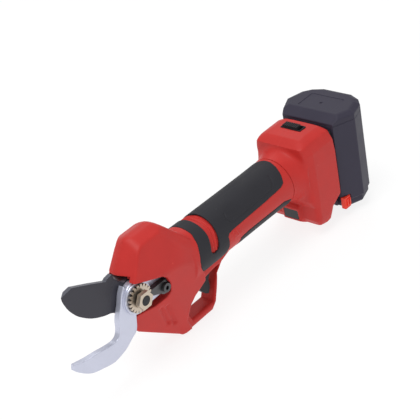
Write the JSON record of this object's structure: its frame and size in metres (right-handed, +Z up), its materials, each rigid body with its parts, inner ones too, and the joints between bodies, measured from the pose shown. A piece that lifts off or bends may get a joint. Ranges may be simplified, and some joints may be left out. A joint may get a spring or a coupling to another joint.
{
  "type": "battery electric pruner",
  "caption": "Hand-held battery pruner with a geared cutting blade over a fixed hook, trigger guard, round soft grip and slide-on battery pack.",
  "frame": {"origin": "centre of the bounding box's bottom face, under the grip on the tool's mid-plane; the blade pivot is at y -0.1045, z 0.067", "axes": "+Z up, jaws point along -Y and the pack's flat rear face looks along +Y, +X is the tool's left side with the lock nut"},
  "size_m": [0.069, 0.346, 0.109],
  "materials": {
    "housing_red": "fine-textured moulded plastic, red",
    "soft_grip": "soft moulded elastomer, dark grey",
    "black_plastic": "black moulded plastic",
    "pack_plastic": "textured dark purple-grey plastic",
    "release_plastic": "orange-red moulded plastic",
    "blade_coating": "dark low-friction coating on ground steel",
    "hook_steel": "satin chromed steel",
    "nut_nickel": "nickel-plated steel",
    "dark_screw": "black oxide",
    "bright_steel": "bright steel",
    "gear_steel": "hardened gear steel",
    "frame_aluminium": "die-cast aluminium",
    "motor_steel": "painted steel can",
    "cell_wrap": "shrink-wrapped cell, green",
    "winding_copper": "copper",
    "circuit_board": "solder-masked board",
    "lead_sleeve": "silicone wire sleeve",
    "display_glass": "smoked window"
  },
  "bodies": {
    "body": {"left_housing": "housing_red", "right_housing": "housing_red", "rear_housing_left": "housing_red", "rear_housing_right": "housing_red", "left_grip_pad": "soft_grip", "right_grip_pad": "soft_grip", "under_grip_pad": "soft_grip", "housing_screws": "bright_steel", "front_frame": "frame_aluminium", "fixed_hook": "hook_steel", "pivot_bolt": "dark_screw", "pivot_washer": "bright_steel", "lock_nut": "nut_nickel", "lock_plate": "dark_screw", "lock_screw": "dark_screw", "output_bearing": "bright_steel", "gearbox_case": "gear_steel", "motor_case": "motor_steel", "motor_stator": "winding_copper", "motor_end_cap": "black_plastic", "motor_leads": "lead_sleeve", "position_sensor": "circuit_board", "trigger_pin": "bright_steel", "trigger_spring": "bright_steel", "trigger_switch": "black_plastic", "control_board": "circuit_board", "battery_leads": "lead_sleeve", "switch_base": "black_plastic", "display_board": "circuit_board", "display_window": "display_glass", "battery_shoe": "black_plastic", "shoe_terminals": "winding_copper", "shoe_screws": "bright_steel"},
    "blade": {"cutting_blade": "blade_coating", "sector_gear": "gear_steel", "sector_screws": "bright_steel", "position_magnet": "bright_steel"},
    "output_shaft": {"output_pinion": "gear_steel", "output_carrier": "gear_steel"},
    "middle_shaft": {"first_carrier": "gear_steel"},
    "rotor": {"rotor_shaft": "bright_steel", "rotor_core": "gear_steel"},
    "trigger": {"trigger": "black_plastic"},
    "power_slider": {"power_slider": "black_plastic"},
    "battery": {"battery_case": "pack_plastic", "battery_top_cap": "pack_plastic", "battery_cells": "cell_wrap", "cell_holders": "black_plastic", "cell_links": "winding_copper", "protection_board": "circuit_board", "pack_terminals": "winding_copper", "pack_screws": "bright_steel"},
    "release_left": {"release_button_left": "release_plastic"},
    "release_right": {"release_button_right": "release_plastic"},
    "output_planet_1": {"output_planet_1": "gear_steel"},
    "first_planet_1": {"first_planet_1": "gear_steel"},
    "output_planet_2": {"output_planet_2": "gear_steel"},
    "first_planet_2": {"first_planet_2": "gear_steel"},
    "output_planet_3": {"output_planet_3": "gear_steel"},
    "first_planet_3": {"first_planet_3": "gear_steel"}
  },
  "joints": [
    {"name": "blade_pivot", "type": "hinge", "parent": "body", "child": "blade", "pos_m": [0.0055, -0.1045, 0.067], "axis": [1, 0, 0], "range_deg": [0, 42]},
    {"name": "output_spin", "type": "hinge", "parent": "body", "child": "output_shaft", "pos_m": [0, -0.1045, 0.067], "axis": [0, 0.9973, -0.0732], "range_deg": [0, 168]},
    {"name": "middle_spin", "type": "hinge", "parent": "body", "child": "middle_shaft", "pos_m": [0, -0.1045, 0.067], "axis": [0, 0.9973, -0.0732], "range_deg": [0, 756]},
    {"name": "rotor_spin", "type": "hinge", "parent": "body", "child": "rotor", "pos_m": [0, -0.1045, 0.067], "axis": [0, 0.9973, -0.0732], "range_deg": [0, 3402]},
    {"name": "trigger_pull", "type": "hinge", "parent": "body", "child": "trigger", "pos_m": [0, -0.0425, 0.038], "axis": [1, 0, 0], "range_deg": [0, 7], "stiffness_Nm_per_rad": 0.05, "deforming": ["trigger_spring"]},
    {"name": "power_slide", "type": "slide", "parent": "body", "child": "power_slider", "axis": [1, 0, 0], "range_m": [0, 0.003]},
    {"name": "battery_slide", "type": "slide", "parent": "body", "child": "battery", "axis": [0, 0, 1], "range_m": [0, 0.07]},
    {"name": "release_press_left", "type": "slide", "parent": "battery", "child": "release_left", "axis": [-1, 0, 0], "range_m": [0, 0.002], "stiffness_N_per_m": 300},
    {"name": "release_press_right", "type": "slide", "parent": "battery", "child": "release_right", "axis": [1, 0, 0], "range_m": [0, 0.002], "stiffness_N_per_m": 300},
    {"name": "output_planet_1_spin", "type": "hinge", "parent": "output_shaft", "child": "output_planet_1", "pos_m": [0.0081, -0.1045, 0.067], "axis": [0, 0.9973, -0.0732], "range_deg": [-470.4, 0]},
    {"name": "first_planet_1_spin", "type": "hinge", "parent": "middle_shaft", "child": "first_planet_1", "pos_m": [0.0081, -0.1045, 0.067], "axis": [0, 0.9973, -0.0732], "range_deg": [-2116.8, 0]},
    {"name": "output_planet_2_spin", "type": "hinge", "parent": "output_shaft", "child": "output_planet_2", "pos_m": [-0.00405, -0.10501, 0.06], "axis": [0, 0.9973, -0.0732], "range_deg": [-470.4, 0]},
    {"name": "first_planet_2_spin", "type": "hinge", "parent": "middle_shaft", "child": "first_planet_2", "pos_m": [-0.00405, -0.10501, 0.06], "axis": [0, 0.9973, -0.0732], "range_deg": [-2116.8, 0]},
    {"name": "output_planet_3_spin", "type": "hinge", "parent": "output_shaft", "child": "output_planet_3", "pos_m": [-0.00405, -0.10399, 0.074], "axis": [0, 0.9973, -0.0732], "range_deg": [-470.4, 0]},
    {"name": "first_planet_3_spin", "type": "hinge", "parent": "middle_shaft", "child": "first_planet_3", "pos_m": [-0.00405, -0.10399, 0.074], "axis": [0, 0.9973, -0.0732], "range_deg": [-2116.8, 0]}
  ],
  "couplings": [
    {"joint": "output_spin", "follows": "blade_pivot", "ratio": 4},
    {"joint": "middle_spin", "follows": "blade_pivot", "ratio": 18},
    {"joint": "rotor_spin", "follows": "blade_pivot", "ratio": 81},
    {"joint": "output_planet_1_spin", "follows": "blade_pivot", "ratio": -11.2},
    {"joint": "first_planet_1_spin", "follows": "blade_pivot", "ratio": -50.4},
    {"joint": "output_planet_2_spin", "follows": "blade_pivot", "ratio": -11.2},
    {"joint": "first_planet_2_spin", "follows": "blade_pivot", "ratio": -50.4},
    {"joint": "output_planet_3_spin", "follows": "blade_pivot", "ratio": -11.2},
    {"joint": "first_planet_3_spin", "follows": "blade_pivot", "ratio": -50.4}
  ]
}
